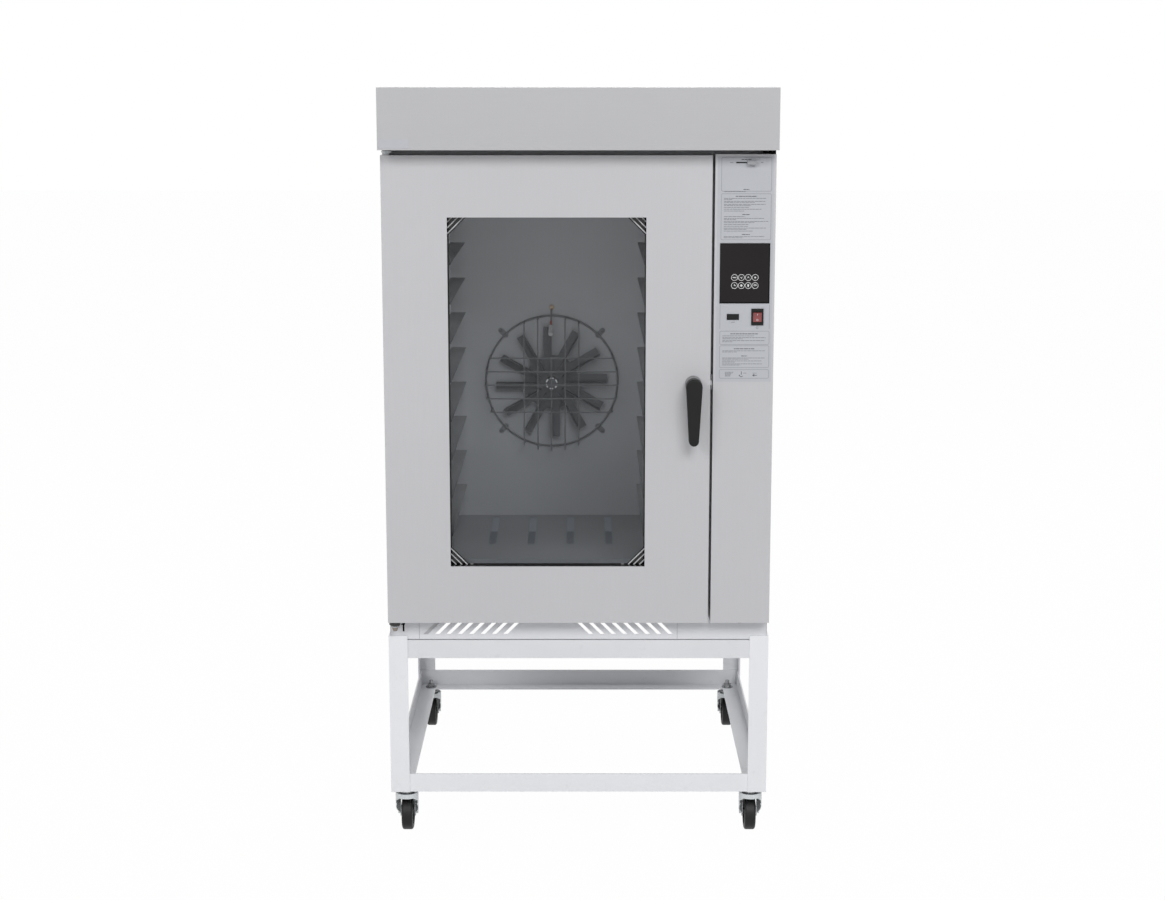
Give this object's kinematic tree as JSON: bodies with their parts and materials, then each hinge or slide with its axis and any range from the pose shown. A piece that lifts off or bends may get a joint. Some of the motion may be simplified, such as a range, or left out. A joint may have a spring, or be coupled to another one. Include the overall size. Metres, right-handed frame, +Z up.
{
  "type": "rack convection oven on stand",
  "caption": "Upright rack convection oven with glazed side-hinged door, lever handle, control column, slotted plinth and projecting hood, on an angle-iron stand with swivel casters.",
  "frame": {"origin": "on the floor, at the middle of the part's bounding box seen from above", "axes": "+X to the right seen from the front, +Y from the door to the back, +Z up"},
  "size_m": [1.009, 1.166, 1.9995],
  "materials": {
    "sheet_steel": "satin light grey",
    "stand_paint": "satin pale grey",
    "galvanised_sheet": "dull zinc",
    "zinc_steel": "bright zinc",
    "liner_steel": "satin stainless",
    "fan_steel": "dull steel",
    "wire_steel": "bright wire",
    "badge_metal": "satin plate",
    "overlay_film": "matt film",
    "black_glass": "dark gloss",
    "black_plastic": "fine texture",
    "red_plastic": "translucent red",
    "black_rubber": "matt",
    "black_paint": "matt",
    "mineral_wool": "fibre mat",
    "motor_paint": "grey enamel",
    "tinted_glass": "tinted, clear",
    "caster_tyre": "matt",
    "hub_plastic": "dull"
  },
  "bodies": {
    "oven": {"stand_legs": "stand_paint", "stand_upper_rails": "stand_paint", "stand_lower_rails": "stand_paint", "caster_stems": "zinc_steel", "side_panel_left": "sheet_steel", "side_panel_right": "sheet_steel", "top_panel": "sheet_steel", "rear_panel": "sheet_steel", "base_pan": "galvanised_sheet", "front_frame": "sheet_steel", "plinth_ends": "sheet_steel", "plinth_vent": "sheet_steel", "hood": "sheet_steel", "badge_plate": "badge_metal", "control_column": "sheet_steel", "control_overlay": "overlay_film", "display_panel": "black_glass", "port_cover": "black_plastic", "switch_bezel": "black_plastic", "column_grommet": "black_rubber", "flue_collar": "galvanised_sheet", "cavity_liner": "liner_steel", "insulation": "mineral_wool", "floor_plate": "liner_steel", "tray_guides": "liner_steel", "guide_posts": "liner_steel", "burner": "galvanised_sheet", "gas_pipe": "zinc_steel", "cable_gland": "black_plastic", "fan_motor": "motor_paint", "fan_guard": "wire_steel", "temperature_probe": "wire_steel", "hinge_bottom": "zinc_steel", "hinge_top": "zinc_steel", "latch_keeper": "zinc_steel"},
    "door": {"door_outer": "sheet_steel", "door_inner": "liner_steel", "door_glass_outer": "tinted_glass", "door_glass_inner": "tinted_glass", "window_frame": "black_paint", "door_seal": "black_rubber", "handle_boss": "zinc_steel"},
    "handle": {"handle_lever": "black_plastic", "latch_spindle": "zinc_steel"},
    "damper": {"damper_slider": "zinc_steel"},
    "rocker": {"switch_rocker": "red_plastic"},
    "fan": {"fan_impeller": "fan_steel", "fan_shaft": "zinc_steel"},
    "fork_fl": {"caster_fork_fl": "zinc_steel"},
    "wheel_fl": {"caster_tyre_fl": "caster_tyre", "caster_hub_fl": "hub_plastic"},
    "fork_fr": {"caster_fork_fr": "zinc_steel"},
    "wheel_fr": {"caster_tyre_fr": "caster_tyre", "caster_hub_fr": "hub_plastic"},
    "fork_rl": {"caster_fork_rl": "zinc_steel"},
    "wheel_rl": {"caster_tyre_rl": "caster_tyre", "caster_hub_rl": "hub_plastic"},
    "fork_rr": {"caster_fork_rr": "zinc_steel"},
    "wheel_rr": {"caster_tyre_rr": "caster_tyre", "caster_hub_rr": "hub_plastic"}
  },
  "joints": [
    {"name": "door_hinge", "type": "hinge", "parent": "oven", "child": "door", "pos_m": [-0.484, -0.4855, 0.6145], "axis": [0, 0, -1], "range_deg": [0, 120]},
    {"name": "handle_turn", "type": "hinge", "parent": "door", "child": "handle", "pos_m": [0.295, -0.513, 1.2485], "axis": [0, -1, 0], "range_deg": [0, 90]},
    {"name": "damper_slide", "type": "slide", "parent": "oven", "child": "damper", "axis": [1, 0, 0], "range_m": [-0.026, 0]},
    {"name": "switch_rock", "type": "hinge", "parent": "oven", "child": "rocker", "pos_m": [0.457, -0.513, 1.4215], "axis": [-1, 0, 0], "range_deg": [0, 16]},
    {"name": "fan_spin", "type": "hinge", "parent": "oven", "child": "fan", "pos_m": [-0.0805, 0.299, 1.1325], "axis": [0, 1, 0], "continuous": true},
    {"name": "swivel_fl", "type": "hinge", "parent": "oven", "child": "fork_fl", "pos_m": [-0.4655, -0.4185, 0.113], "axis": [0, 0, 1], "continuous": true},
    {"name": "roll_fl", "type": "hinge", "parent": "fork_fl", "child": "wheel_fl", "pos_m": [-0.4655, -0.3855, 0.05], "axis": [1, 0, 0], "continuous": true},
    {"name": "swivel_fr", "type": "hinge", "parent": "oven", "child": "fork_fr", "pos_m": [0.4655, -0.4185, 0.113], "axis": [0, 0, 1], "continuous": true},
    {"name": "roll_fr", "type": "hinge", "parent": "fork_fr", "child": "wheel_fr", "pos_m": [0.4655, -0.3855, 0.05], "axis": [1, 0, 0], "continuous": true},
    {"name": "swivel_rl", "type": "hinge", "parent": "oven", "child": "fork_rl", "pos_m": [-0.4655, 0.498, 0.113], "axis": [0, 0, 1], "continuous": true},
    {"name": "roll_rl", "type": "hinge", "parent": "fork_rl", "child": "wheel_rl", "pos_m": [-0.4655, 0.531, 0.05], "axis": [1, 0, 0], "continuous": true},
    {"name": "swivel_rr", "type": "hinge", "parent": "oven", "child": "fork_rr", "pos_m": [0.4655, 0.498, 0.113], "axis": [0, 0, 1], "continuous": true},
    {"name": "roll_rr", "type": "hinge", "parent": "fork_rr", "child": "wheel_rr", "pos_m": [0.4655, 0.531, 0.05], "axis": [1, 0, 0], "continuous": true}
  ]
}
